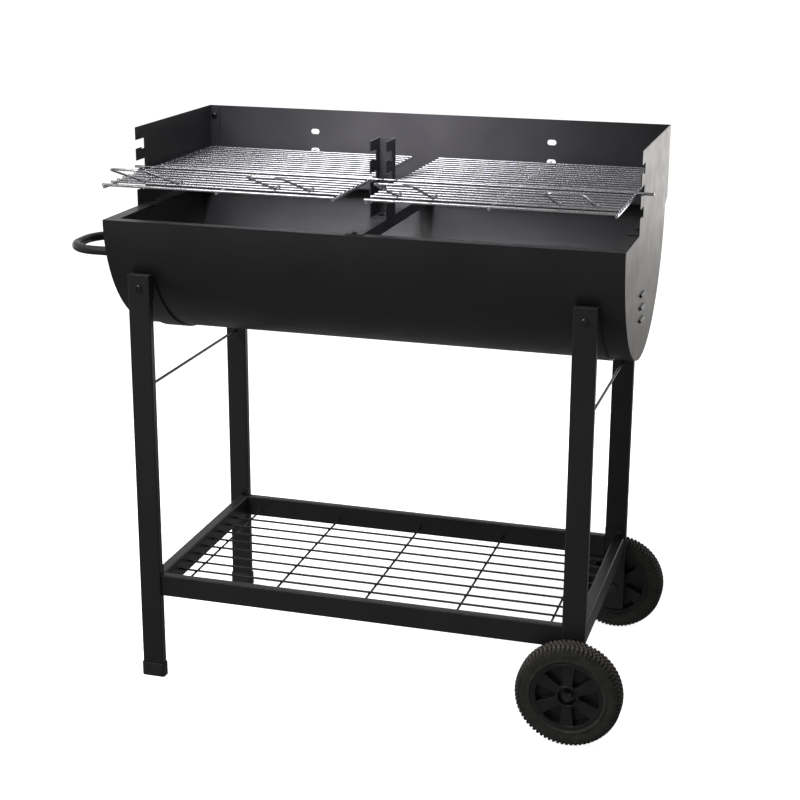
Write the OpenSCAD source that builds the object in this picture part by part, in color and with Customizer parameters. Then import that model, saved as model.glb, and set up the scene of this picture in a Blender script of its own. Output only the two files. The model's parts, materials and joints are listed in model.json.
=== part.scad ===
// Half-barrel charcoal grill on a wheeled trolley, with a windshield,
// two height-adjustable cooking grids and a wire shelf.
// Millimetres. +X runs along the barrel towards the wheels, -Y is the
// front, +Z is up and Z = 0 is the ground.

/* [Barrel] */
// Length of the barrel over its end caps
barrel_length = 900; // [860:10:960]
// Outer radius of the half barrel
barrel_radius = 228; // [224:1:232]
// Height of the barrel's rim above the ground
rim_height = 850; // [830:5:880]
// Thickness of the barrel and windshield sheet
sheet = 1.5; // [1:0.1:1.8]
// Width of the inward flange along the rim
rim_flange = 20; // [18:1:22]

/* [Windshield] */
// Height of the windshield above the rim
shield_height = 140; // [136:1:160]
// How far the side panels reach in front of the barrel's middle
shield_front = 87; // [84:1:90]
// How far the back panel stands behind the barrel's middle
shield_back = 256; // [250:1:260]

/* [Grid hooks] */
// Number of grid heights
hook_count = 3; // [2:1:3]
// Height from one hook to the next
hook_pitch = 36.5; // [35:0.5:38]
// Height of each hook's mouth
hook_mouth = 15.4; // [15.4:0.1:17]
// Depth of the pocket behind each hook's lip
hook_drop = 3; // [2.5:0.1:3]

/* [Grids] */
// Width of each cooking grid along the barrel
grid_width = 412; // [396:4:420]
// Diameter of the cooking grid's cross wires
wire_d = 4; // [3:0.5:4]
// Diameter of the grid's rails and support rod
rail_d = 5; // [4:0.5:5]
// Gaps between cross wires behind the front wire
wire_gaps = 19; // [17:1:20]
// Pull-out angle of a cooking grid above level
pull_angle = 20; // [20:1:21]
// Middles of the four lift handles along the barrel
lift_handle_x = [-348, -112, 100, 368];

/* [Trolley] */
// Width of a leg tube along the barrel
leg_width = 40; // [36:1:44]
// Depth of a leg tube from front to back
leg_depth = 16; // [15:1:20]
// Distance from the barrel's middle to the middle of a leg
leg_spread = 389; // [380:1:400]
// Height of the top of the leg tubes
leg_top = 754; // [750:1:756]
// Wall of the leg and rail tubes
tube_wall = 1.5; // [1.2:0.1:2]
// Height of the top of the shelf rails
shelf_top = 200; // [180:2:240]
// Height of the shelf rails
shelf_rail_h = 40; // [36:2:44]

/* [Wheels] */
// Outer diameter of the wheels
wheel_d = 184; // [174:2:190]
// Width of the wheels
wheel_width = 40; // [38:1:46]
// Diameter of the two axle bolts
axle_d = 10; // [8:0.5:12]

/* [Side handle] */
// Width of the side handle between the middles of its arms
side_handle_width = 140; // [120:5:160]
// Reach of the side handle from the end cap
side_handle_reach = 110; // [90:5:130]
// Diameter of the side handle's bar
side_handle_d = 16; // [14:1:18]

/* [Hidden] */

$fn = 48;
clearance = 0.1;   // radial gap of a bolt in its hole
gap = 0.3;         // gap between pieces that move past each other
cut = 1;           // how far a cutter passes the face that it cuts

half_length = barrel_length / 2;
inner_radius = barrel_radius - sheet;
shield_top = rim_height + shield_height;

// Legs and saddle straps
strap_gap = 0.2;
strap_thickness = 3;
strap_radius = barrel_radius + strap_gap;
strap_top = leg_top - 3;
// How far from the middle the straps' outer face is at their top ends
leg_inner = ceil(10 * sqrt(pow(strap_radius + strap_thickness, 2)
  - pow(rim_height - leg_top, 2))) / 10;
leg_outer = leg_inner + leg_depth;
leg_corner = 2.5;
leg_bolt_z = leg_top - 20;
bolt_d = 6;
leg_nut_r = 6;
leg_nut_h = 5;
bolt_end = 2;          // how far a bolt's end stands out of its nut
// Seat of the leg bolts' nuts, inside the shell
leg_nut_seat = floor(sqrt(pow(inner_radius, 2) - pow(rim_height - leg_bolt_z + leg_nut_r, 2)));
leg_bolt_end = leg_nut_seat - leg_nut_h - bolt_end;
strap_tab_h = 40;
plug_head = 2.5;
foot_cap_wall = 2;
foot_cap_h = 26;
foot_cap_floor = 4;
wheel_leg_bottom = 50;
tie_rod_z = 550;
tie_rod_d = 5;
tie_rod_grip = 6;  // how far a tie rod reaches into a leg

// Shelf
shelf_set_back = 5;    // the long rails stand behind the legs' faces
shelf_rail_w = 16;
shelf_wire_d = 4;
shelf_side_w = 20;
shelf_wire_z = shelf_top - 21;
shelf_long_wires = 8;
shelf_wire_pitch = 39;
shelf_cross_wires = 5;
shelf_cross_pitch = 169;
end_plate = 2;
end_plate_rise = 17;
end_plate_inset = 3;   // the end plates stop this far inside the legs' outer sides
// The left side rail lies along the inner halves of the legs, and the right one along the outer halves
shelf_left_x = -leg_spread + leg_width / 2 - shelf_side_w / 2;
shelf_right_x = leg_spread + leg_width / 2 - end_plate_inset - shelf_side_w / 2;
shelf_bolt_z = shelf_top + 8;
weld = 0.5;            // how far welded wires sink into each other

// Windshield
shield_joggle_z = rim_height + 11;
shield_joggle_y = barrel_radius + 8;
side_flange = 20;
shield_bolt_d = 5;
m5_hole = shield_bolt_d + 2 * clearance;
shield_bolt_x = half_length - 10;
shield_bolt_z = [rim_height + 30, shield_top - 20];
rim_bolt_y = [-40, 150];
back_rim_bolt_x = 220;
rim_bolt_inset = 10;
slot_w = 17;
slot_h = 10;

// Hooks for the support rods
hook_rear = shield_front - 35;           // rear wall of the pockets
hook_first = rim_height + 28.9;
hook_pocket = 12;
hook_in_use = 1;
function hook_z(k) = hook_first + k * hook_pitch;

// Crossbar and centre post
bar_w = 30;
bar_t = 2;
bar_drop = 18;
bar_end = barrel_radius - 4;
bar_bolt_y = barrel_radius - 10;
post_t = 2;
post_back = 33;
post_top = shield_top - 5;
post_bolt_y = 64;

// Cooking grids and support rods
grid_x = 232;
grid_inner = grid_x - grid_width / 2;
grid_outer = grid_x + grid_width / 2;
rod_y = -(hook_rear + rail_d / 2 + gap);
rod_z = hook_z(hook_in_use) - hook_drop + rail_d / 2 + gap;
rod_reach = half_length + 17;
rod_inner = 1.5;
rail_z = rod_z - rail_d;
wire_z = rail_z + rail_d / 2 + wire_d / 2 - weld;
wire_pitch = 22.4;
wires_before_rod = 7;
grid_front = 245;
grid_back = rod_y + (wire_gaps - wires_before_rod) * wire_pitch + 5;
tail_end = shield_back + 5;

// Lift handles
lift_wire_d = 4;
lift_width = 60;
lift_foot_back = 186;
lift_foot_front = 213;
lift_reach = 127;
lift_rise = 40;
lift_bend = 12;
lift_z = wire_z + wire_d / 2 + lift_wire_d / 2;
lift_tip = lift_foot_front + lift_reach + lift_wire_d / 2;

// Charcoal grates
grate_z = rim_height - 132;
grate_inner = bar_w / 2 + 5;
grate_outer = half_length - rim_flange - 6;
// The grate's wire ends rest against the shell, inside the leg bolts' ends
grate_half = min(leg_bolt_end - 1, floor(sqrt(pow(inner_radius - gap, 2)
  - pow(rim_height - grate_z + wire_d / 2, 2))));
grate_wires = 17;
grate_rail_y = 150;

// Side handle
side_handle_z = rim_height - 70;
side_handle_y = -90;
side_handle_bend = 58;
side_bolt_d = 6;
side_bolt_len = 16;

// Vents
vent_z = [rim_height - 112, rim_height - 134, rim_height - 156];
vent_y = -30;
vent_w = 36;
vent_h = 8;
vent_proud = 4.5;      // how far a louvre stands out of the end cap

// Wheels
axle_z = wheel_d / 2;
wheel_inner = leg_outer + 2;
wheel_outer = wheel_inner + wheel_width;
hub_r = 60;
hub_rim = 5;
hub_face = 3;          // the hub disc stands this far inside the tyre's face
boss_r = 19;
boss_recess = 13;
boss_wall = 3;
window_r = 55;
window_inner_r = 21;
spoke_set_in = 2;      // the spokes stand this far inside the hub ring's face
web_t = 6;             // wall between a window and the one behind it
spokes = 6;
spoke_w_inner = 9;
spoke_w_outer = 25;
axle_fit = 0.08;
axle_head_d = 18;
axle_head_h = 4;
nut_h = 8;
washer_t = 2;

// The whole grill's box, whose bottom middle is the origin
x_min = -(half_length + side_handle_reach + side_handle_d / 2);
x_max = max(rod_reach, leg_spread + wheel_d / 2);
y_min = -lift_tip;
y_max = wheel_outer;
centre_x = (x_min + x_max) / 2;
centre_y = (y_min + y_max) / 2;

paint = "#1d1d20";
paint_light = "#2a2a2d";
chrome = "#c9cbce";
zinc = "#3c3d40";
plastic = "#202123";
rubber = "#2b2927";

// ---- helpers ----

module in_frame() translate([-centre_x, -centre_y, 0]) children();

// A flat outline in Y and Z, drawn out along X
module along_x(x0, x1) translate([x0, 0, 0]) rotate([90, 0, 90]) linear_extrude(x1 - x0) children();

// A flat outline in X and Z, drawn out along Y
module along_y(y0, y1) translate([0, y1, 0]) rotate([90, 0, 0]) linear_extrude(y1 - y0) children();

module block(x0, x1, y0, y1, z0, z1) translate([x0, y0, z0]) cube([x1 - x0, y1 - y0, z1 - z0]);

module rod_along_x(x0, x1, y, z, d) translate([x0, y, z]) rotate([0, 90, 0]) cylinder(h = x1 - x0, d = d);

module rod_along_y(x, y0, y1, z, d) translate([x, y0, z]) rotate([-90, 0, 0]) cylinder(h = y1 - y0, d = d);

module rod_along_z(x, y, z0, z1, d) translate([x, y, z0]) cylinder(h = z1 - z0, d = d);

module rounded_rect(w, d, r) {
  square([w - 2 * r, d], center = true);
  square([w, d - 2 * r], center = true);
  for (sx = [-1, 1], sy = [-1, 1])
    translate([sx * (w / 2 - r), sy * (d / 2 - r)]) circle(r);
}

module on_both_sides() for (s = [-1, 1]) scale_x(s) children();

// Mirrors to the left for s = -1
module scale_x(s) mirror([s < 0 ? 1 : 0, 0, 0]) children();

module scale_y(s) mirror([0, s < 0 ? 1 : 0, 0]) children();

// A pan-head bolt: the head's seat is at Z = 0 and the shank points down
module pan_bolt(d, length, head_d, head_h) {
  crown = head_d;
  difference() {
    union() {
      intersection() {
        cylinder(h = head_h, d = head_d);
        translate([0, 0, head_h - crown]) sphere(r = crown);
      }
      translate([0, 0, -length]) cylinder(h = length + head_h / 2, d = d);
    }
    for (a = [0, 90]) rotate([0, 0, a])
      translate([-head_d * 0.28, -head_d * 0.06, head_h * 0.45])
        cube([head_d * 0.56, head_d * 0.12, head_h]);
  }
}

// A hexagon nut with its seat at Z = 0
module hex_nut(d, across, height) difference() {
  cylinder(h = height, d = across / cos(30), $fn = 6);
  translate([0, 0, -cut]) cylinder(h = height + 2 * cut, d = d + 2 * clearance);
}

module pan_bolt_m6(length) pan_bolt(bolt_d, length, 12, 4);
module pan_bolt_m5(length) pan_bolt(shield_bolt_d, length, 10, 3.4);

// ---- barrel ----

module half_disc(r) intersection() {
  circle(r);
  translate([-r, -r]) square([2 * r, r]);
}

module bolt_hole_y(x, z, d) rod_along_y(x, -barrel_radius - 50, barrel_radius + 50, z, d + 2 * clearance);

// An upright hole for one of the bolts in the rim
module rim_hole(x, y) rod_along_z(x, y, rim_height - 10, rim_height + 10, m5_hole);

module barrel_shell() color(paint) in_frame() difference() {
  mouth = barrel_radius - rim_flange;
  along_x(-half_length + sheet, half_length - sheet) translate([0, rim_height]) difference() {
    half_disc(barrel_radius);
    intersection() {
      circle(inner_radius);
      translate([-barrel_radius, -barrel_radius]) square([2 * barrel_radius, barrel_radius - sheet]);
    }
    translate([-mouth, -2 * sheet]) square([2 * mouth, 4 * sheet]);
  }
  for (s = [-1, 1]) {
    bolt_hole_y(s * leg_spread, leg_bolt_z, bolt_d);
    rim_hole(0, s * bar_bolt_y);
    rim_hole(s * back_rim_bolt_x, bar_bolt_y);
  }
}

// One end cap, drawn for the right end
module end_cap_plain() difference() {
  union() {
    along_x(half_length - sheet, half_length) translate([0, rim_height]) half_disc(barrel_radius);
    block(half_length - rim_flange - 2, half_length - sheet / 2, -inner_radius + rim_flange,
      inner_radius - rim_flange, rim_height - sheet, rim_height);
    for (z = vent_z) vent_hood(z);
  }
  for (z = vent_z) vent_slot(z);
  for (y = rim_bolt_y) rim_hole(half_length - rim_bolt_inset, y);
}

// A quarter round of radius r that stands out of the end cap, above z0
module vent_round(z, half, r, z0) intersection() {
  rod_along_y(half_length - sheet / 2, vent_y - half, vent_y + half, z, 2 * r);
  block(half_length - sheet / 2, half_length + vent_proud + cut, vent_y - half, vent_y + half,
    z0, z + vent_h);
}

// A pressed louvre that hangs over its vent slot
module vent_hood(z) vent_round(z, vent_w / 2, vent_proud + sheet / 2, z);

module vent_slot(z) {
  inner = vent_w / 2 - sheet;
  vent_round(z, inner, vent_proud - sheet / 2, z - cut);
  block(half_length - sheet - cut, half_length + cut, vent_y - inner, vent_y + inner,
    z - vent_h / 2, z + vent_proud - sheet);
}

module side_bolt_places() for (s = [-1, 1])
  translate([-half_length, side_handle_y + s * side_handle_width / 2, side_handle_z]) children();

module end_cap_left() color(paint) in_frame() difference() {
  scale_x(-1) end_cap_plain();
  side_bolt_places() translate([-cut, 0, 0]) rotate([0, 90, 0])
    cylinder(h = sheet + 2 * cut, d = side_bolt_d + 2 * clearance);
}

module end_cap_right() color(paint) in_frame() end_cap_plain();

// ---- crossbar and centre post ----

module crossbar() color(paint_light) in_frame() difference() {
  flange_end = inner_radius - rim_flange - 2;
  union() {
    block(-bar_w / 2, bar_w / 2, -bar_end, bar_end, rim_height, rim_height + bar_t);
    for (s = [-1, 1]) scale_x(s)
      block(bar_w / 2 - bar_t, bar_w / 2, -flange_end, flange_end,
        rim_height - bar_drop, rim_height + bar_t / 2);
  }
  for (y = [-bar_bolt_y, bar_bolt_y, -post_bolt_y]) rim_hole(0, y);
}

// The hooks' mouths and pockets as an outline in Y and Z, front on the left
module hook_outlines() for (k = [0 : hook_count - 1]) {
  translate([-shield_front - cut, hook_z(k)]) square([shield_front - hook_rear + cut, hook_mouth]);
  translate([-hook_rear - hook_pocket, hook_z(k) - hook_drop]) square([hook_pocket, hook_drop + cut]);
}

module centre_post() color(paint) in_frame() difference() {
  foot = rim_height + bar_t;
  union() {
    for (s = [-1, 1]) scale_x(s) difference() {
      block(bar_w / 2 - post_t, bar_w / 2, -shield_front, -post_back, foot, post_top);
      along_x(bar_w / 2 - post_t - cut, bar_w / 2 + cut) hook_outlines();
    }
    block(-bar_w / 2 + post_t / 2, bar_w / 2 - post_t / 2, -post_back - post_t, -post_back, foot, post_top);
    block(-bar_w / 2 + post_t / 2, bar_w / 2 - post_t / 2, -shield_front, -post_back - post_t / 2,
      foot, foot + post_t);
  }
  rod_along_z(0, -post_bolt_y, foot - cut, foot + 2 * post_t, m5_hole);
}

// ---- windshield ----

module slot_outline(x, z) translate([x, z]) {
  square([slot_w - slot_h, slot_h], center = true);
  for (s = [-1, 1]) translate([s * (slot_w - slot_h) / 2, 0]) circle(d = slot_h);
}

module windshield_back() color(paint) in_frame() difference() {
  flange_front = inner_radius - rim_flange + 2;
  union() {
    along_x(-half_length, half_length) polygon([
      [shield_back, shield_top], [shield_back, shield_joggle_z],
      [shield_joggle_y + sheet, rim_height + sheet / 3], [shield_joggle_y, rim_height],
      [barrel_radius, rim_height], [barrel_radius, rim_height + sheet],
      [shield_joggle_y - sheet / 2, rim_height + sheet], [shield_back - sheet, shield_joggle_z + sheet / 2],
      [shield_back - sheet, shield_top]]);
    for (s = [-1, 1]) scale_x(s)
      block(bar_w / 2 + 2, half_length - side_flange - 4, flange_front, barrel_radius + sheet,
        rim_height, rim_height + sheet);
  }
  along_y(shield_back - 2 * sheet, shield_back + cut) for (s = [-1, 1], k = [0 : hook_count - 1])
    slot_outline(s * grid_x, hook_z(k) - 4.4);
  for (s = [-1, 1], z = shield_bolt_z)
    rod_along_y(s * shield_bolt_x, shield_back - 10, shield_back + 10, z, m5_hole);
  for (s = [-1, 1]) rim_hole(s * back_rim_bolt_x, bar_bolt_y);
}

// One side panel, drawn for the right end
module windshield_side() difference() {
  rear = shield_back - sheet;
  low_edge = rim_height + sheet + gap;   // just above the back panel's flange
  union() {
    along_x(half_length - sheet, half_length) difference() {
      polygon([[-shield_front, rim_height], [barrel_radius - 2, rim_height], [barrel_radius - 2, low_edge],
        [shield_joggle_y - sheet, low_edge], [rear, shield_joggle_z + sheet], [rear, shield_top],
        [-shield_front, shield_top]]);
      hook_outlines();
    }
    block(half_length - side_flange, half_length - sheet / 2, -shield_front, barrel_radius - 30,
      rim_height, rim_height + sheet);
    block(half_length - side_flange, half_length - sheet / 2, rear - sheet, rear,
      shield_joggle_z + 4, shield_top - 2);
  }
  for (z = shield_bolt_z)
    rod_along_y(shield_bolt_x, rear - 10, rear + 10, z, m5_hole);
  for (y = rim_bolt_y) rim_hole(half_length - rim_bolt_inset, y);
}

module windshield_side_left() color(paint) in_frame() scale_x(-1) windshield_side();
module windshield_side_right() color(paint) in_frame() windshield_side();

// ---- legs ----

// One leg tube: side -1 is left and 1 right, row -1 is front and 1 back
module leg(side, row) difference() {
  bottom = side < 0 ? foot_cap_floor : wheel_leg_bottom;
  middle = leg_inner + leg_depth / 2;
  translate([side * leg_spread, row * middle, bottom]) linear_extrude(leg_top - bottom) difference() {
    rounded_rect(leg_width, leg_depth, leg_corner);
    rounded_rect(leg_width - 2 * tube_wall, leg_depth - 2 * tube_wall, leg_corner / 2);
  }
  scale_y(row) {
    rod_along_y(side * leg_spread, leg_inner - cut, leg_outer + cut, leg_bolt_z, bolt_d + 2 * clearance);
    rod_along_y(side * leg_spread, leg_inner - cut, leg_inner + 2 * tube_wall, tie_rod_z,
      tie_rod_d + 2 * clearance);
    rod_along_y(shelf_side_x(side), leg_inner - cut, leg_inner + 2 * tube_wall, shelf_bolt_z, m5_hole);
    if (side > 0)
      rod_along_y(side * leg_spread, leg_inner - cut, leg_outer + cut, axle_z, axle_d + 2 * clearance);
  }
}

module leg_front_left() color(paint) in_frame() leg(-1, -1);
module leg_back_left() color(paint) in_frame() leg(-1, 1);
module leg_front_right() color(paint) in_frame() leg(1, -1);
module leg_back_right() color(paint) in_frame() leg(1, 1);

// A plug that closes the top of a leg tube
module leg_plug(side, row) translate([side * leg_spread, row * (leg_inner + leg_depth / 2), 0]) {
  translate([0, 0, leg_top]) linear_extrude(plug_head) rounded_rect(leg_width, leg_depth, leg_corner);
  translate([0, 0, leg_top - 10]) linear_extrude(10 + plug_head / 2)
    rounded_rect(leg_width - 2 * tube_wall - 0.4, leg_depth - 2 * tube_wall - 0.4, leg_corner / 2);
}

module leg_plug_front_left() color(plastic) in_frame() leg_plug(-1, -1);
module leg_plug_back_left() color(plastic) in_frame() leg_plug(-1, 1);
module leg_plug_front_right() color(plastic) in_frame() leg_plug(1, -1);
module leg_plug_back_right() color(plastic) in_frame() leg_plug(1, 1);

// The cap that a left leg stands in
module foot_cap(row) translate([-leg_spread, row * (leg_inner + leg_depth / 2), 0]) difference() {
  linear_extrude(foot_cap_h)
    rounded_rect(leg_width + 2 * foot_cap_wall, leg_depth + 2 * foot_cap_wall, leg_corner + foot_cap_wall);
  translate([0, 0, foot_cap_floor]) linear_extrude(foot_cap_h)
    rounded_rect(leg_width + 2 * clearance, leg_depth + 2 * clearance, leg_corner + clearance);
}

module foot_cap_front_left() color(plastic) in_frame() foot_cap(-1);
module foot_cap_back_left() color(plastic) in_frame() foot_cap(1);

// A strap that carries the barrel between a front and a back leg
module saddle_strap(side) difference() {
  x0 = side * leg_spread - leg_width / 2;
  union() {
    along_x(x0, x0 + leg_width) intersection() {
      translate([0, rim_height]) difference() {
        circle(strap_radius + strap_thickness);
        circle(strap_radius);
      }
      translate([-leg_inner, rim_height - barrel_radius - 10])
        square([2 * leg_inner, strap_top - rim_height + barrel_radius + 10]);
    }
    for (s = [-1, 1]) scale_y(s)
      block(x0, x0 + leg_width, leg_inner - strap_thickness, leg_inner, strap_top - strap_tab_h, strap_top);
  }
  bolt_hole_y(side * leg_spread, leg_bolt_z, bolt_d);
}

module saddle_strap_left() color(paint) in_frame() saddle_strap(-1);
module saddle_strap_right() color(paint) in_frame() saddle_strap(1);

module tie_rod(side)
  rod_along_y(side * leg_spread, -leg_inner - tie_rod_grip, leg_inner + tie_rod_grip, tie_rod_z, tie_rod_d);

module tie_rod_left() color(paint) in_frame() tie_rod(-1);
module tie_rod_right() color(paint) in_frame() tie_rod(1);

// ---- shelf ----

module tube_outline(w, h) difference() {
  rounded_rect(w, h, leg_corner);
  rounded_rect(w - 2 * tube_wall, h - 2 * tube_wall, leg_corner / 2);
}

module shelf_rail_long(row) {
  half = leg_spread - leg_width / 2;
  y = row * (leg_outer - shelf_set_back - shelf_rail_w / 2);
  along_x(-half, half) translate([y, shelf_top - shelf_rail_h / 2])
    tube_outline(shelf_rail_w, shelf_rail_h);
}

function shelf_side_x(side) = side < 0 ? shelf_left_x : shelf_right_x;

// A side rail with an end plate at each end, which reaches from the long rail across the leg
module shelf_rail_side(side) {
  x = shelf_side_x(side);
  near = side * (leg_spread - leg_width / 2);
  far = side * (leg_spread + leg_width / 2 - end_plate_inset);
  along_y(-leg_inner + end_plate / 2, leg_inner - end_plate / 2)
    translate([x, shelf_top - shelf_rail_h / 2]) tube_outline(shelf_side_w, shelf_rail_h);
  for (s = [-1, 1]) scale_y(s) difference() {
    block(min(near, far), max(near, far),
      leg_inner - end_plate, leg_inner, shelf_top - shelf_rail_h, shelf_top + end_plate_rise);
    rod_along_y(x, leg_inner - 10, leg_inner + 10, shelf_bolt_z, m5_hole);
  }
}

module shelf_rail_front() color(paint) in_frame() shelf_rail_long(-1);
module shelf_rail_back() color(paint) in_frame() shelf_rail_long(1);
module shelf_rail_left() color(paint) in_frame() shelf_rail_side(-1);
module shelf_rail_right() color(paint) in_frame() shelf_rail_side(1);

module shelf_wires() color(paint) in_frame() {
  left_end = shelf_left_x + shelf_side_w / 2;
  right_end = shelf_right_x - shelf_side_w / 2;
  cross_end = leg_outer - shelf_set_back - shelf_rail_w;
  for (i = [0 : shelf_long_wires - 1])
    rod_along_x(left_end, right_end, (i - (shelf_long_wires - 1) / 2) * shelf_wire_pitch,
      shelf_wire_z, shelf_wire_d);
  for (i = [0 : shelf_cross_wires - 1])
    rod_along_y((i - (shelf_cross_wires - 1) / 2) * shelf_cross_pitch, -cross_end, cross_end,
      shelf_wire_z - shelf_wire_d + weld, shelf_wire_d);
}

// ---- side handle ----

// A U of round bar in the XY plane: its feet are on the X axis and it
// reaches along +Y
module u_bar(width, reach, bend, d) {
  for (s = [-1, 1]) scale_x(s) {
    translate([width / 2, 0, 0]) rotate([-90, 0, 0]) cylinder(h = reach - bend, d = d);
    translate([width / 2 - bend, reach - bend, 0]) rotate_extrude(angle = 90)
      translate([bend, 0]) circle(d = d);
  }
  translate([-width / 2 + bend, reach, 0]) rotate([0, 90, 0]) cylinder(h = width - 2 * bend, d = d);
}

module side_handle() color(paint) in_frame() difference() {
  translate([-half_length, side_handle_y, side_handle_z]) rotate([0, 0, 90])
    u_bar(side_handle_width, side_handle_reach, side_handle_bend, side_handle_d);
  side_bolt_places() translate([-side_bolt_len - 2, 0, 0]) rotate([0, 90, 0])
    cylinder(h = side_bolt_len + 4, d = side_bolt_d + 2 * clearance);
}

module side_handle_bolts() color(zinc) in_frame()
  side_bolt_places() translate([sheet, 0, 0]) rotate([0, 90, 0]) pan_bolt_m6(side_bolt_len);

// ---- fasteners of the frame ----

module leg_bolt_places() for (side = [-1, 1], row = [-1, 1]) scale_y(row)
  translate([side * leg_spread, leg_outer, leg_bolt_z]) rotate([-90, 0, 0]) children();

module leg_bolts() color(zinc) in_frame()
  leg_bolt_places() pan_bolt_m6(leg_outer - leg_bolt_end);

module leg_bolt_nuts() color(zinc) in_frame()
  leg_bolt_places() translate([0, 0, leg_nut_seat - leg_nut_h - leg_outer]) hex_nut(bolt_d, 10, leg_nut_h);

module windshield_bolts() color(zinc) in_frame()
  for (s = [-1, 1], z = shield_bolt_z) translate([s * shield_bolt_x, shield_back - 2 * sheet, z])
    rotate([90, 0, 0]) pan_bolt_m5(12);

module windshield_nuts() color(zinc) in_frame()
  for (s = [-1, 1], z = shield_bolt_z) translate([s * shield_bolt_x, shield_back, z])
    rotate([-90, 0, 0]) hex_nut(shield_bolt_d, 8, 4);

// The bolts that stand upright in the rim: [x, y, height of the seat]
rim_bolt_list = concat(
  [for (s = [-1, 1], y = rim_bolt_y) [s * (half_length - rim_bolt_inset), y, rim_height + sheet]],
  [for (s = [-1, 1]) [s * back_rim_bolt_x, bar_bolt_y, rim_height + sheet]],
  [for (s = [-1, 1]) [0, s * bar_bolt_y, rim_height + bar_t]],
  [[0, -post_bolt_y, rim_height + bar_t + post_t]]);

module rim_bolts() color(zinc) in_frame()
  for (p = rim_bolt_list) translate([p[0], p[1], p[2]]) pan_bolt_m5(12);

module rim_nuts() color(zinc) in_frame()
  for (p = rim_bolt_list) {
    seat = abs(p[1]) == post_bolt_y ? rim_height : rim_height - sheet;
    translate([p[0], p[1], seat - 4]) hex_nut(shield_bolt_d, 8, 4);
  }

module shelf_bolts() color(zinc) in_frame()
  for (side = [-1, 1], row = [-1, 1]) scale_y(row)
    translate([shelf_side_x(side), leg_inner - end_plate, shelf_bolt_z]) rotate([90, 0, 0]) pan_bolt_m5(9);

// ---- wheels and axle ----

washer_face = wheel_outer - boss_recess;
axle_end = washer_face + washer_t + nut_h + 1;

// Each wheel has its own axle: a bolt through one leg, with its head on the leg's inner face
module axle_bolts() color(zinc) in_frame() for (s = [-1, 1]) scale_y(s) {
  rod_along_y(leg_spread, leg_inner - axle_head_h / 2, axle_end, axle_z, axle_d);
  rod_along_y(leg_spread, leg_inner - axle_head_h, leg_inner, axle_z, axle_head_d);
}

// Something round the axle, drawn for both ends from y0 to y1
module axle_ring(y0, y1, d) for (s = [-1, 1]) scale_y(s) difference() {
  rod_along_y(leg_spread, y0, y1, axle_z, d);
  rod_along_y(leg_spread, y0 - cut, y1 + cut, axle_z, axle_d + 2 * clearance);
}

module axle_spacers() color(zinc) in_frame() axle_ring(leg_outer, wheel_inner - gap, axle_d + 8);
module axle_washers() color(zinc) in_frame()
  axle_ring(washer_face + gap, washer_face + washer_t, axle_d + 12);
module axle_nuts() color(zinc) in_frame() for (s = [-1, 1]) scale_y(s)
  translate([leg_spread, washer_face + washer_t, axle_z]) rotate([-90, 0, 0]) hex_nut(axle_d, 16, nut_h);

module spoke_window() difference() {
  circle(window_r);
  circle(window_inner_r);
  for (i = [0 : spokes - 1]) rotate(90 + i * 360 / spokes)
    polygon([[0, -spoke_w_inner / 2], [window_r + cut, -spoke_w_outer / 2],
      [window_r + cut, spoke_w_outer / 2], [0, spoke_w_inner / 2]]);
}

// A wheel hub round the Z axis, from its inner face at Z = 0 to its outer face.
// The windows between the spokes are pockets in both faces.
module wheel_hub() {
  face = wheel_width - hub_face;
  pocket = wheel_width / 2 - web_t / 2 + cut;
  difference() {
    union() {
      difference() {
        translate([0, 0, hub_face]) cylinder(h = face - hub_face, r = hub_r);
        translate([0, 0, -cut]) cylinder(h = hub_face + spoke_set_in + cut, r = hub_r - hub_rim);
        translate([0, 0, face - spoke_set_in]) cylinder(h = wheel_width, r = hub_r - hub_rim);
      }
      cylinder(h = face, r = boss_r);
    }
    translate([0, 0, wheel_width - boss_recess]) cylinder(h = wheel_width, r = boss_r - boss_wall);
    translate([0, 0, -cut]) cylinder(h = wheel_width, d = axle_d + 2 * axle_fit);
    for (z = [-cut, wheel_width - pocket + cut]) translate([0, 0, z]) linear_extrude(pocket) spoke_window();
  }
}

module tyre() rotate_extrude($fn = 96) difference() {
  outer = wheel_d / 2;
  shoulder = 7;
  union() {
    translate([hub_r, 0]) square([outer - shoulder - hub_r, wheel_width]);
    translate([hub_r, shoulder]) square([outer - hub_r, wheel_width - 2 * shoulder]);
    for (z = [shoulder, wheel_width - shoulder]) translate([outer - shoulder, z]) circle(shoulder);
  }
  translate([hub_r - cut, -cut]) square([cut + 3, hub_face + cut]);
  translate([hub_r - cut, wheel_width - hub_face]) square([cut + 3, hub_face + cut]);
}

module at_wheel(row) scale_y(row)
  translate([leg_spread, wheel_inner, axle_z]) rotate([-90, 0, 0]) children();

module wheel_hub_front() color(plastic) in_frame() at_wheel(-1) wheel_hub();
module wheel_hub_back() color(plastic) in_frame() at_wheel(1) wheel_hub();
module tyre_front() color(rubber) in_frame() at_wheel(-1) tyre();
module tyre_back() color(rubber) in_frame() at_wheel(1) tyre();

// ---- cooking grids ----

// One cooking grid, drawn for the right side. The support rod takes the
// place of one cross wire.
module cooking_grid() {
  inset = rail_d / 2;
  for (x = [grid_inner + inset, grid_outer - inset]) rod_along_y(x, -grid_front, grid_back, rail_z, rail_d);
  rod_along_y(grid_x, -grid_front, tail_end, rail_z, rail_d);
  rod_along_x(grid_inner, grid_outer, -grid_front, wire_z, rail_d);
  for (k = [0 : wire_gaps]) if (k != wires_before_rod)
    rod_along_x(grid_inner, grid_outer, rod_y + (k - wires_before_rod) * wire_pitch, wire_z, wire_d);
}

module cooking_grid_left() color(chrome) in_frame() scale_x(-1) cooking_grid();
module cooking_grid_right() color(chrome) in_frame() cooking_grid();

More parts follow.
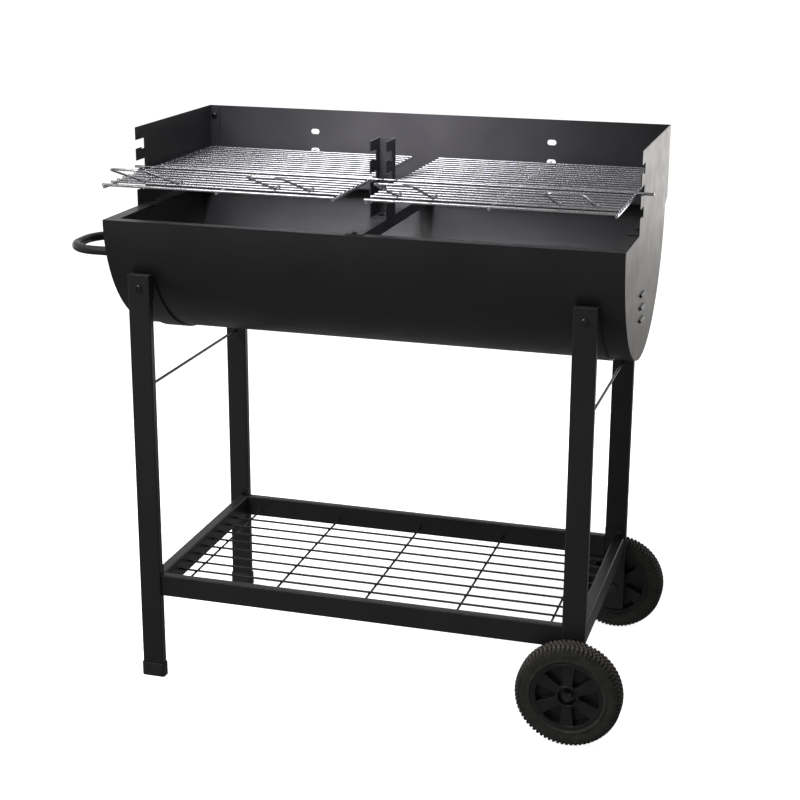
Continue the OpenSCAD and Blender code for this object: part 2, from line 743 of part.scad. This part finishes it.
module support_rod_left() color(chrome) in_frame() rod_along_x(-rod_reach, -rod_inner, rod_y, rod_z, rail_d);
module support_rod_right() color(chrome) in_frame() rod_along_x(rod_inner, rod_reach, rod_y, rod_z, rail_d);

// A U of wire that stands forward from the grid's front wires
module lift_handle(x) translate([x, 0, 0]) {
  slope = atan2(lift_rise, lift_reach);
  translate([0, -lift_foot_front, lift_z]) rotate([180 - slope, 0, 0])
    u_bar(lift_width, lift_reach / cos(slope), lift_bend, lift_wire_d);
  for (s = [-1, 1]) {
    rod_along_y(s * lift_width / 2, -lift_foot_front, -lift_foot_back, lift_z, lift_wire_d);
    translate([s * lift_width / 2, -lift_foot_front, lift_z]) sphere(d = lift_wire_d + weld / 2);
  }
}

module grid_handle_1() color(chrome) in_frame() lift_handle(lift_handle_x[0]);
module grid_handle_2() color(chrome) in_frame() lift_handle(lift_handle_x[1]);
module grid_handle_3() color(chrome) in_frame() lift_handle(lift_handle_x[2]);
module grid_handle_4() color(chrome) in_frame() lift_handle(lift_handle_x[3]);

// ---- charcoal grates ----

module charcoal_grate() {
  first = grate_inner + wire_d;
  last = grate_outer - wire_d;
  for (y = [-grate_rail_y, 0, grate_rail_y])
    rod_along_x(grate_inner, grate_outer, y, grate_z - rail_d / 2 - wire_d / 2 + weld, rail_d);
  for (i = [0 : grate_wires - 1])
    rod_along_y(first + i * (last - first) / (grate_wires - 1), -grate_half, grate_half, grate_z, wire_d);
}

module charcoal_grate_left() color(zinc) in_frame() scale_x(-1) charcoal_grate();
module charcoal_grate_right() color(zinc) in_frame() charcoal_grate();

barrel_shell();
end_cap_left();
end_cap_right();
crossbar();
centre_post();
windshield_back();
windshield_side_left();
windshield_side_right();
leg_front_left();
leg_back_left();
leg_front_right();
leg_back_right();
leg_plug_front_left();
leg_plug_back_left();
leg_plug_front_right();
leg_plug_back_right();
foot_cap_front_left();
foot_cap_back_left();
saddle_strap_left();
saddle_strap_right();
tie_rod_left();
tie_rod_right();
shelf_rail_front();
shelf_rail_back();
shelf_rail_left();
shelf_rail_right();
shelf_wires();
side_handle();
side_handle_bolts();
leg_bolts();
leg_bolt_nuts();
windshield_bolts();
windshield_nuts();
rim_bolts();
rim_nuts();
shelf_bolts();
axle_bolts();
axle_spacers();
axle_washers();
axle_nuts();
wheel_hub_front();
wheel_hub_back();
tyre_front();
tyre_back();
cooking_grid_left();
cooking_grid_right();
support_rod_left();
support_rod_right();
grid_handle_1();
grid_handle_2();
grid_handle_3();
grid_handle_4();
charcoal_grate_left();
charcoal_grate_right();
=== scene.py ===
"""The looks of a half-barrel charcoal grill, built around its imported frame.

Lengths are in metres, in the frame's axes: +X along the barrel towards the wheels, -Y towards
the cook and +Z up.
"""

import json
import math
import random

import bmesh
import bpy
from mathutils import Matrix, Vector


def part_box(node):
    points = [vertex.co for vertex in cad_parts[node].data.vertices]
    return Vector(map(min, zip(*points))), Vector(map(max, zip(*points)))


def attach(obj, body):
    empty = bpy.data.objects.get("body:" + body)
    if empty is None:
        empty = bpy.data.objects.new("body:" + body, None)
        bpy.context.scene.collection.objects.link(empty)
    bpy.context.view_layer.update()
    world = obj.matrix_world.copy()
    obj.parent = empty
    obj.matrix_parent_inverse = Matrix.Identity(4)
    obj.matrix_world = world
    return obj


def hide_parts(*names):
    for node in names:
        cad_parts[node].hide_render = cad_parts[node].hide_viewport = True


MM = 0.001
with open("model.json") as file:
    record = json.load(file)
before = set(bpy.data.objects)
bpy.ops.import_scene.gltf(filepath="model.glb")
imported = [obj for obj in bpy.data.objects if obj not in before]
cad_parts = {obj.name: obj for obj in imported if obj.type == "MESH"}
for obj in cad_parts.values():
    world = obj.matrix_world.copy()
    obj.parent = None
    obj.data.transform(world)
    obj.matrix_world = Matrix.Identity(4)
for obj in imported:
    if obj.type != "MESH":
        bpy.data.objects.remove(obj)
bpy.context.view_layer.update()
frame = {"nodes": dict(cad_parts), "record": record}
NODES = frame["nodes"]
random.seed(7)


# ---------------------------------------------------------------- places and shader nodes

def middle(name):
    """The centre of a CAD node's box."""
    low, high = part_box(name)
    return (Vector(low) + Vector(high)) / 2


def map_range(tree, source, from_min, from_max, to_min, to_max):
    """A value mapped in a straight line from one range to another, and held at its ends."""
    node = tree.nodes.new("ShaderNodeMapRange")
    settings = {"From Min": from_min, "From Max": from_max, "To Min": to_min, "To Max": to_max}
    for socket, value in settings.items():
        node.inputs[socket].default_value = value
    tree.links.new(source, node.inputs["Value"])
    return node.outputs["Result"]


def mix(tree, data_type, factor, a, b):
    """Goes from a to b as the factor rises. Each of them is a node's output or a plain value."""
    node = tree.nodes.new("ShaderNodeMix")
    node.data_type = data_type
    tree.links.new(factor, node.inputs["Factor"])
    for socket, value in (("A", a), ("B", b)):
        if isinstance(value, bpy.types.NodeSocket):
            tree.links.new(value, node.inputs[socket])
        else:
            node.inputs[socket].default_value = value
    return node.outputs["Result"]


def split_xyz(tree, source):
    """The three numbers of a vector, by the names X, Y and Z."""
    node = tree.nodes.new("ShaderNodeSeparateXYZ")
    tree.links.new(source, node.inputs["Vector"])
    return node.outputs


def seen_directly(tree):
    """One for what the camera sees itself, and zero for what lights or mirrors in something else."""
    return tree.nodes.new("ShaderNodeLightPath").outputs["Is Camera Ray"]


# ---------------------------------------------------------------- materials

NOISE_LOW, NOISE_HIGH = 0.3, 0.7     # a noise texture hardly leaves this range


class Recipe:
    """A Principled material and short calls that add nodes to it."""

    def __init__(self, name, **sockets):
        self.material = bpy.data.materials.new(name)
        self.material.use_nodes = True
        self.tree = self.material.node_tree
        self.shader = self.tree.nodes["Principled BSDF"]
        self.coords = self.tree.nodes.new("ShaderNodeTexCoord")
        for socket, value in sockets.items():
            self.shader.inputs[socket.replace("_", " ")].default_value = value

    def link(self, source, target):
        self.tree.links.new(source, target)

    def noise(self, scale, detail=3.0, roughness=0.55, stretch=(1, 1, 1)):
        mapping = self.tree.nodes.new("ShaderNodeMapping")
        mapping.inputs["Scale"].default_value = stretch
        node = self.tree.nodes.new("ShaderNodeTexNoise")
        node.inputs["Scale"].default_value = scale
        node.inputs["Detail"].default_value = detail
        node.inputs["Roughness"].default_value = roughness
        self.link(self.coords.outputs["Object"], mapping.inputs["Vector"])
        self.link(mapping.outputs["Vector"], node.inputs["Vector"])
        return node.outputs["Fac"]

    def ramp(self, source, *stops):
        """Each stop is (place from 0 to 1, colour)."""
        node = self.tree.nodes.new("ShaderNodeValToRGB")
        elements = node.color_ramp.elements
        while len(elements) < len(stops):
            elements.new(0.5)
        for element, (place, colour) in zip(elements, stops):
            element.position = place
            element.color = (*colour, 1)
        self.link(source, node.inputs["Fac"])
        return node.outputs["Color"]

    def colour(self, source, *stops):
        self.link(self.ramp(source, *stops), self.shader.inputs["Base Color"])

    def rough(self, source, low, high):
        value = map_range(self.tree, source, NOISE_LOW, NOISE_HIGH, low, high)
        self.link(value, self.shader.inputs["Roughness"])

    def bump(self, *layers):
        """Each layer is (height source, depth in metres)."""
        normal = None
        for source, depth in layers:
            node = self.tree.nodes.new("ShaderNodeBump")
            node.inputs["Strength"].default_value = 1.0
            node.inputs["Distance"].default_value = depth
            self.link(source, node.inputs["Height"])
            if normal is not None:
                self.link(normal, node.inputs["Normal"])
            normal = node.outputs["Normal"]
        self.link(normal, self.shader.inputs["Normal"])


def black_enamel():
    """Satin black stoving enamel on sheet and tube: a faint orange peel, and soft smudges in its gloss."""
    r = Recipe("black_enamel", Specular_IOR_Level=0.5)
    r.colour(r.noise(9, detail=4),
             (NOISE_LOW, (0.0152, 0.0145, 0.0166)), (NOISE_HIGH, (0.0215, 0.0206, 0.0232)))
    r.rough(r.noise(22, detail=5), 0.34, 0.42)
    r.bump((r.noise(1400, detail=2), 0.00001), (r.noise(5, detail=1), 0.0005))
    return r.material


def bright_wire():
    """Chrome-plated wire, a little hazy where it has been handled."""
    r = Recipe("bright_wire", Metallic=1.0)
    r.colour(r.noise(20, detail=4),
             (NOISE_LOW, (0.74, 0.73, 0.77)), (NOISE_HIGH, (0.86, 0.85, 0.89)))
    r.rough(r.noise(24, detail=3), 0.19, 0.23)
    r.bump((r.noise(160, detail=1), 0.000002))
    return r.material


def plain_wire():
    """Drawn steel wire of the charcoal grates, dull and slightly oily."""
    r = Recipe("plain_wire", Metallic=1.0)
    r.colour(r.noise(45, detail=5),
             (NOISE_LOW, (0.20, 0.20, 0.205)), (NOISE_HIGH, (0.34, 0.34, 0.345)))
    r.rough(r.noise(90, detail=4), 0.30, 0.46)
    r.bump((r.noise(900, detail=2), 0.00002))
    return r.material


def black_zinc():
    """Black zinc plating on bolts, nuts, washers and spacers, rubbed to grey on a few high spots."""
    r = Recipe("black_zinc", Metallic=1.0)
    r.colour(r.noise(260, detail=4),
             (0.35, (0.055, 0.055, 0.06)), (0.62, (0.10, 0.10, 0.108)), (0.74, (0.30, 0.30, 0.31)))
    r.rough(r.noise(320, detail=4), 0.24, 0.40)
    r.bump((r.noise(1500, detail=2), 0.000015))
    return r.material


def matt_plastic():
    """Black polyethylene caps with a fine moulded grain."""
    r = Recipe("matt_plastic", Specular_IOR_Level=0.4)
    r.colour(r.noise(35, detail=3),
             (NOISE_LOW, (0.022, 0.022, 0.0225)), (NOISE_HIGH, (0.030, 0.030, 0.0305)))
    r.rough(r.noise(60, detail=3), 0.46, 0.58)
    r.bump((r.noise(2200, detail=2), 0.00003))
    return r.material


def hub_plastic():
    """Injection-moulded wheel centre: smoother than the caps, with faint flow marks."""
    r = Recipe("hub_plastic", Specular_IOR_Level=0.45)
    r.colour(r.noise(18, detail=3, stretch=(1, 1, 3)),
             (NOISE_LOW, (0.013, 0.013, 0.0133)), (NOISE_HIGH, (0.019, 0.019, 0.0193)))
    r.rough(r.noise(40, detail=3), 0.27, 0.38)
    r.bump((r.noise(1800, detail=2), 0.00002))
    return r.material


def tyre_rubber():
    """Solid rubber, dark on the walls, lighter and browner on the tops of the tread blocks: partly dust,
    partly a painted highlight.

    How much lighter it is depends only on the distance from the wheels' axis, which runs along Y.
    """
    r = Recipe("tyre_rubber", Specular_IOR_Level=0.35)
    axle = middle("tyre_front")
    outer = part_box("tyre_front")[1][2] - axle.z
    flat = r.tree.nodes.new("ShaderNodeMapping")
    flat.inputs["Location"].default_value = (-axle.x, 0, -axle.z)
    flat.inputs["Scale"].default_value = (1, 0, 1)
    radius = r.tree.nodes.new("ShaderNodeVectorMath")
    radius.operation = "LENGTH"
    r.link(r.coords.outputs["Object"], flat.inputs["Vector"])
    r.link(flat.outputs["Vector"], radius.inputs[0])
    # painted highlight and dust: the outermost 3 mm of radius, the tops of the tread blocks, turn lighter
    # and browner
    dust_and_highlight_mask = map_range(r.tree, radius.outputs["Value"], outer - 3.5 * MM, outer - 0.5 * MM, 0.0, 1.0)
    clean = r.ramp(r.noise(70, detail=6),
                   (NOISE_LOW, (0.028, 0.0275, 0.026)), (NOISE_HIGH, (0.052, 0.050, 0.0465)))
    dust_and_highlight_colour = r.ramp(r.noise(160, detail=5),
                   (NOISE_LOW, (0.060, 0.054, 0.048)), (NOISE_HIGH, (0.125, 0.110, 0.098)))
    r.link(mix(r.tree, "RGBA", dust_and_highlight_mask, clean, dust_and_highlight_colour), r.shader.inputs["Base Color"])
    r.rough(r.noise(90, detail=4), 0.62, 0.82)
    r.bump((r.noise(1300, detail=4), 0.00006))
    return r.material


MATERIALS = {
    "black_paint": black_enamel(),
    "chrome_wire": bright_wire(),
    "grate_steel": plain_wire(),
    "black_zinc": black_zinc(),
    "plastic": matt_plastic(),
    "hub_plastic": hub_plastic(),
    "tyre": tyre_rubber(),
}
SLOT_OF = {s["node"]: s["material_slot"] for s in frame["record"]["subparts"]}
BODY_OF = {node: body for body, nodes in frame["record"]["behaviour"]["bodies"].items() for node in nodes}

for name, node in NODES.items():
    node.data.materials.clear()
    node.data.materials.append(MATERIALS[SLOT_OF[name]])


# ---------------------------------------------------------------- pieces

def add_piece(name, data, slot, body, replaced=()):
    """A new object that takes the material of a slot and rides on a body."""
    data.materials.append(MATERIALS[slot])
    piece = bpy.data.objects.new(name, data)
    bpy.context.scene.collection.objects.link(piece)
    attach(piece, body)
    if replaced:
        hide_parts(*replaced)
    return piece


def finish_mesh(bm, name, sharp_angle=40):
    """A mesh with smooth shading, apart from edges sharper than the angle in degrees."""
    bmesh.ops.recalc_face_normals(bm, faces=bm.faces)
    mesh = bpy.data.meshes.new(name)
    bm.to_mesh(mesh)
    bm.free()
    mesh.polygons.foreach_set("use_smooth", [True] * len(mesh.polygons))
    mesh.set_sharp_from_angle(angle=math.radians(sharp_angle))
    return mesh


def soften(name, radius, segments=2):
    """Rounds the sharp edges of a CAD node, so that they catch the light as moulded or painted edges do."""
    node = NODES[name]
    weld = node.modifiers.new("weld", "WELD")
    weld.merge_threshold = 0.02 * MM
    flat = node.modifiers.new("flat", "DECIMATE")
    flat.decimate_type = "DISSOLVE"
    flat.angle_limit = math.radians(0.5)
    edge = node.modifiers.new("edge", "BEVEL")
    edge.width = radius
    edge.segments = segments
    edge.limit_method = "ANGLE"
    edge.angle_limit = math.radians(35)
    normals = node.modifiers.new("normals", "WEIGHTED_NORMAL")
    normals.weight = 100


# ---------------------------------------------------------------- tyres

WALL_STEPS = 144
LUGS_ROUND = 72
LUG_DEPTH = 4 * MM
TREAD_ROWS = ((-6.6 * MM, 0.5), (0, 0), (6.6 * MM, 0.5))     # y of each row, and its shift in pitches
TREAD_LUG_WIDTH, TREAD_LUG_HALF_LENGTH = 4.6 * MM, 2.3 * MM
SHOULDER_LUG_WIDTH = 4.4 * MM
ROOT_HALF_WIDTH = 0.62                                       # of a block's width at its top


def revolve(bm, profile, steps, centre):
    """A closed outline of (radius, y) turned about the wheel's axle."""
    rings = []
    for i in range(steps):
        angle = 2 * math.pi * i / steps
        turn = Vector((math.cos(angle), 0, math.sin(angle)))
        rings.append([bm.verts.new(centre + turn * radius + Vector((0, y, 0))) for radius, y in profile])
    for i in range(steps):
        here, there = rings[i], rings[(i + 1) % steps]
        for j in range(len(profile)):
            k = (j + 1) % len(profile)
            bm.faces.new((here[j], here[k], there[k], there[j]))


def lug(bm, centre, angle, width, stations):
    """A rubber block: each station is (y, top radius, y of its root, root radius)."""
    rows = []
    for y, top, root_y, root in stations:
        row = []
        for radius, at_y, half in ((top, y, width / 2), (root, root_y, width * ROOT_HALF_WIDTH)):
            for side in (-1, 1):
                turn = angle + side * half / radius
                corner = Vector((radius * math.cos(turn), at_y, radius * math.sin(turn)))
                row.append(bm.verts.new(centre + corner))
        rows.append(row)
    for near, far in zip(rows, rows[1:]):
        for a, b in ((0, 1), (1, 3), (3, 2), (2, 0)):
            bm.faces.new((near[a], near[b], far[b], far[a]))
    for row in (rows[0], rows[-1]):
        bm.faces.new((row[0], row[1], row[3], row[2]))


def sidewall(half, outer):
    """One half of the tyre's outline, from the bead to the middle of the tread, as (radius, y)."""
    bead = outer - 32 * MM
    wall = ((0, 3.2), (3, 3.2), (4, 1.4), (6, 0.6), (7.5, 1.3), (12, 0.9), (19, 0.5), (22, 1.0))
    points = [(bead + out * MM, half - inset * MM) for out, inset in wall]
    shoulder = 7 * MM
    shoulder_radius, shoulder_y = outer - LUG_DEPTH - shoulder, half - 1.2 * MM - shoulder
    for i in range(6):
        turn = math.radians(10 + 16 * i)
        points.append((shoulder_radius + shoulder * math.sin(turn), shoulder_y + shoulder * math.cos(turn)))
    return points


def build_tyre(row):
    """A grooved wall with three rows of blocks on the tread and a row of longer ones on each shoulder."""
    node = f"tyre_{row}"
    low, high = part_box(node)
    centre = middle(node)
    outer = (high[2] - low[2]) / 2
    half = (high[1] - low[1]) / 2
    wall = sidewall(half, outer)
    bm = bmesh.new()
    revolve(bm, wall + [(radius, -y) for radius, y in reversed(wall)], WALL_STEPS, centre)
    root = outer - LUG_DEPTH - 1 * MM
    pitch = 2 * math.pi / LUGS_ROUND
    for i in range(LUGS_ROUND):
        angle = i * pitch
        for y, shift in TREAD_ROWS:
            y0, y1 = y - TREAD_LUG_HALF_LENGTH, y + TREAD_LUG_HALF_LENGTH
            lug(bm, centre, angle + shift * pitch, TREAD_LUG_WIDTH, [
                (y0, outer - 0.2 * MM, y0 - 0.5 * MM, root), (y1, outer - 0.2 * MM, y1 + 0.5 * MM, root)])
        for side, shift in ((-1, 0.25), (1, 0.75)):
            lug(bm, centre, angle + shift * pitch, SHOULDER_LUG_WIDTH, [
                (side * 11.2 * MM, outer - 0.4 * MM, side * 10.6 * MM, root),
                (side * (half - 5.0 * MM), outer - 1.4 * MM, side * (half - 7.5 * MM), root - 1.5 * MM),
                (side * (half - 1.9 * MM), outer - 4.4 * MM, side * (half - 5.5 * MM), root - 3.5 * MM),
                (side * (half - 0.6 * MM), outer - 9.0 * MM, side * (half - 4.0 * MM), root - 6.5 * MM)])
    add_piece(f"knobbly_tyre_{row}", finish_mesh(bm, node, 32), "tyre", BODY_OF[node], [node])


# ---------------------------------------------------------------- wires

WIRE_RADIUS = 2 * MM
CURL_RADIUS = 2 * WIRE_RADIUS
BEND_STEPS = 8


def rounded_path(corners, reach):
    """Points along straight runs whose inner corners are curves that start the given reach away."""
    points = [corners[0]]
    for before, corner, after in zip(corners, corners[1:], corners[2:]):
        start = corner + (before - corner).normalized() * reach
        end = corner + (after - corner).normalized() * reach
        for i in range(BEND_STEPS + 1):
            t = i / BEND_STEPS
            points.append(start * (1 - t) ** 2 + corner * 2 * t * (1 - t) + end * t ** 2)
    points.append(corners[-1])
    return points


def wire_curve(name, points, radius):
    """A round wire along the points."""
    curve = bpy.data.curves.new(name, "CURVE")
    curve.dimensions = "3D"
    curve.bevel_depth = radius
    curve.bevel_resolution = 4
    curve.use_fill_caps = True
    spline = curve.splines.new("POLY")
    spline.points.add(len(points) - 1)
    for point, place in zip(spline.points, points):
        point.co = (*place, 1)
    spline.use_smooth = True
    return curve


def build_lift_handle(number):
    """A bent wire that stands forward from two cross wires and curls round the rear one."""
    node = f"grid_handle_{number}"
    low, high = Vector(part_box(node)[0]), Vector(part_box(node)[1])
    foot_z = low.z + WIRE_RADIUS
    tip_y, tip_z = low.y + WIRE_RADIUS, high.z - WIRE_RADIUS
    curl_y, curl_z = high.y - 3 * MM, foot_z - CURL_RADIUS
    foot_y = high.y - 27 * MM
    arms = []
    for x in (low.x + WIRE_RADIUS, high.x - WIRE_RADIUS):
        curl = []
        for degrees in range(-75, 91, 15):
            turn = math.radians(degrees)
            y, z = curl_y + CURL_RADIUS * math.cos(turn), curl_z + CURL_RADIUS * math.sin(turn)
            curl.append(Vector((x, y, z)))
        arms.append((curl, Vector((x, foot_y, foot_z)), Vector((x, tip_y, tip_z))))
    (left_curl, left_foot, left_tip), (right_curl, right_foot, right_tip) = arms
    lower_left = rounded_path([left_curl[-1], left_foot, (left_foot + left_tip) / 2], 5 * MM)
    lower_right = rounded_path([(right_foot + right_tip) / 2, right_foot, right_curl[-1]], 5 * MM)
    top = rounded_path([lower_left[-1], left_tip, right_tip, lower_right[0]], 13 * MM)
    path = left_curl[:-1] + lower_left + top[1:-1] + lower_right + right_curl[-2::-1]
    wire = wire_curve(node, path, WIRE_RADIUS)
    add_piece(f"lift_handle_{number}", wire, "chrome_wire", BODY_OF[node], [node])


WELD_RADIUS, WELD_HEIGHT = 2.7 * MM, 0.6


def weld_dots(name, places, slot, body):
    """Small resistance-weld nuggets, one where each pair of wires meets."""
    bm = bmesh.new()
    for place in places:
        wide = WELD_RADIUS * random.uniform(0.9, 1.15)
        squash = Matrix.Diagonal((wide, wide * random.uniform(0.85, 1.1), WELD_RADIUS * WELD_HEIGHT, 1))
        bmesh.ops.create_icosphere(bm, subdivisions=2, radius=1, matrix=Matrix.Translation(place) @ squash)
    add_piece(name, finish_mesh(bm, name), slot, body)


WIRE_GAPS = 19
WIRE_PITCH = 22.4 * MM
WIRES_BEFORE_ROD = 7
RAIL_RADIUS = 2.5 * MM
SHELF_COLUMNS, SHELF_COLUMN_PITCH = 5, 169 * MM
SHELF_ROWS, SHELF_ROW_PITCH = 8, 39 * MM


def grid_welds(side):
    """Welds where a grid's cross wires lie on its three rails."""
    node = f"cooking_grid_{side}"
    low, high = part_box(node)
    rod = middle(f"support_rod_{side}")
    rails = (low[0] + RAIL_RADIUS, (low[0] + high[0]) / 2, high[0] - RAIL_RADIUS)
    contact_z = low[2] + 2 * RAIL_RADIUS
    rows = [rod.y + (k - WIRES_BEFORE_ROD) * WIRE_PITCH for k in range(WIRE_GAPS + 1)]
    rows.append(low[1] + RAIL_RADIUS)
    places = [Vector((x, y, contact_z)) for x in rails for y in rows]
    weld_dots(f"grid_welds_{side}", places, "chrome_wire", BODY_OF[node])


def shelf_welds():
    """Welds where the shelf's long wires cross its short ones."""
    node = "shelf_wires"
    centre, mid_x = middle(node), middle("barrel_shell").x
    columns = [mid_x + (i - (SHELF_COLUMNS - 1) / 2) * SHELF_COLUMN_PITCH for i in range(SHELF_COLUMNS)]
    rows = [centre.y + (j - (SHELF_ROWS - 1) / 2) * SHELF_ROW_PITCH for j in range(SHELF_ROWS)]
    places = [Vector((x, y, centre.z)) for x in columns for y in rows]
    weld_dots("shelf_welds", places, SLOT_OF[node], BODY_OF[node])


for wheel_row in ("front", "back"):
    build_tyre(wheel_row)
    soften(f"wheel_hub_{wheel_row}", 0.9 * MM, 3)
for number in range(1, 5):
    build_lift_handle(number)
for side in ("left", "right"):
    grid_welds(side)
shelf_welds()
for name in NODES:
    if name.startswith(("leg_plug", "foot_cap")):
        soften(name, 1.0 * MM, 3)


# ---------------------------------------------------------------- floor, light and camera

FLOOR_REACH = 30.0
WARM_WHITE = (1.0, 0.975, 0.945)
FLOOR_GLOW = (                       # each is (y, how brightly the floor glows there)
    (-4.0, 0.20), (-0.8, 0.20), (0.0, 0.16), (1.0, 0.20), (2.0, 0.40),
    (2.9, 0.80), (3.9, 0.95), (4.5, 1.6), (5.2, 2.6),
)
SEEN_FLOOR_COLOUR, SEEN_FLOOR_GLOW = 0.8, 0.9


def make_floor():
    """A plain white floor. To the grill it is a studio sweep: dim underneath, bright well behind."""
    mesh = bpy.data.meshes.new("floor")
    corners = [(x * FLOOR_REACH, y * FLOOR_REACH, 0) for x, y in ((-1, -1), (1, -1), (1, 1), (-1, 1))]
    mesh.from_pydata(corners, [], [(0, 1, 2, 3)])
    floor = bpy.data.objects.new("floor", mesh)
    bpy.context.scene.collection.objects.link(floor)
    r = Recipe("studio_floor", Specular_IOR_Level=0.0, Roughness=0.9)
    near, far = FLOOR_GLOW[0][0], FLOOR_GLOW[-1][0]
    brightest = max(glow for _, glow in FLOOR_GLOW)
    depth = map_range(r.tree, split_xyz(r.tree, r.coords.outputs["Object"])["Y"], near, far, 0.0, 1.0)
    stops = [((y - near) / (far - near), Vector(WARM_WHITE) * glow / brightest) for y, glow in FLOOR_GLOW]
    seen = seen_directly(r.tree)
    for socket, unseen, grey in (
        ("Base Color", (0, 0, 0, 1), SEEN_FLOOR_COLOUR),
        ("Emission Color", r.ramp(depth, *stops), SEEN_FLOOR_GLOW / brightest),
    ):
        r.link(mix(r.tree, "RGBA", seen, unseen, (grey, grey, grey, 1)), r.shader.inputs[socket])
    r.shader.inputs["Emission Strength"].default_value = brightest
    mesh.materials.append(r.material)


def make_world():
    """A white studio, bright low down behind the grill and dim above and in front."""
    world = bpy.data.worlds.new("studio")
    bpy.context.scene.world = world
    world.use_nodes = True
    tree = world.node_tree
    direction = split_xyz(tree, tree.nodes.new("ShaderNodeTexCoord").outputs["Generated"])
    product = tree.nodes.new("ShaderNodeMath")
    product.operation = "MULTIPLY"
    tree.links.new(map_range(tree, direction["Y"], -0.2, 0.7, 0.30, 1.2), product.inputs[0])
    tree.links.new(map_range(tree, direction["Z"], 0.05, 0.30, 1.0, 0.35), product.inputs[1])
    strength = mix(tree, "FLOAT", seen_directly(tree), product.outputs["Value"], 1.0)
    background = tree.nodes["Background"]
    tree.links.new(strength, background.inputs["Strength"])
    background.inputs["Color"].default_value = (1, 1, 1, 1)


def soft_light(name, place, target, size, power, spread=180, glossy=True):
    """A softbox that faces its target, with its first side, of length size[0], level."""
    data = bpy.data.lights.new(name, "AREA")
    data.shape = "RECTANGLE"
    data.size, data.size_y = size
    data.energy = power
    data.spread = math.radians(spread)
    light = bpy.data.objects.new(name, data)
    light.location = place
    light.rotation_euler = (Vector(target) - Vector(place)).to_track_quat("-Z", "Y").to_euler()
    light.visible_glossy = glossy
    bpy.context.scene.collection.objects.link(light)


LENS = 74.04
LENS_SHIFT = (-0.0045, -0.0319)
CAMERA_X_FROM_BARREL, CAMERA_Y_FROM_BARREL, CAMERA_HEIGHT = 0.8214, -2.7504, 1.3876
CAMERA_ANGLES = (16.20, 16.264, 0.341)     # turn to the left, tilt down and roll, in degrees


def make_camera():
    """Stands to the right of the grill's front, a little above its top, and looks down at it."""
    data = bpy.data.cameras.new("camera")
    data.sensor_width = 36
    data.lens = LENS
    data.shift_x, data.shift_y = LENS_SHIFT
    data.clip_end = 80
    camera = bpy.data.objects.new("camera", data)
    barrel = middle("barrel_shell")
    turn, tilt, roll = (math.radians(degrees) for degrees in CAMERA_ANGLES)
    camera.matrix_world = (
        Matrix.Translation((barrel.x + CAMERA_X_FROM_BARREL, barrel.y + CAMERA_Y_FROM_BARREL, CAMERA_HEIGHT))
        @ Matrix.Rotation(turn, 4, "Z")
        @ Matrix.Rotation(math.pi / 2 - tilt, 4, "X")
        @ Matrix.Rotation(roll, 4, "Z")
    )
    bpy.context.scene.collection.objects.link(camera)
    bpy.context.scene.camera = camera


make_floor()
make_world()
soft_light("key", (-1.8, -0.5, 2.6), (0, 0.1, 0.9), (1.2, 1.2), 95, glossy=False)
soft_light("centre", (-0.02, -0.35, 1.75), (-0.02, 0.25, 0.9), (0.3, 0.3), 7, spread=46, glossy=False)
soft_light("front", (-0.76, -1.7, 2.5), (-0.3, 0.1, 0.9), (0.75, 1.7), 22)
make_camera()
bpy.context.scene.view_settings.view_transform = "Standard"
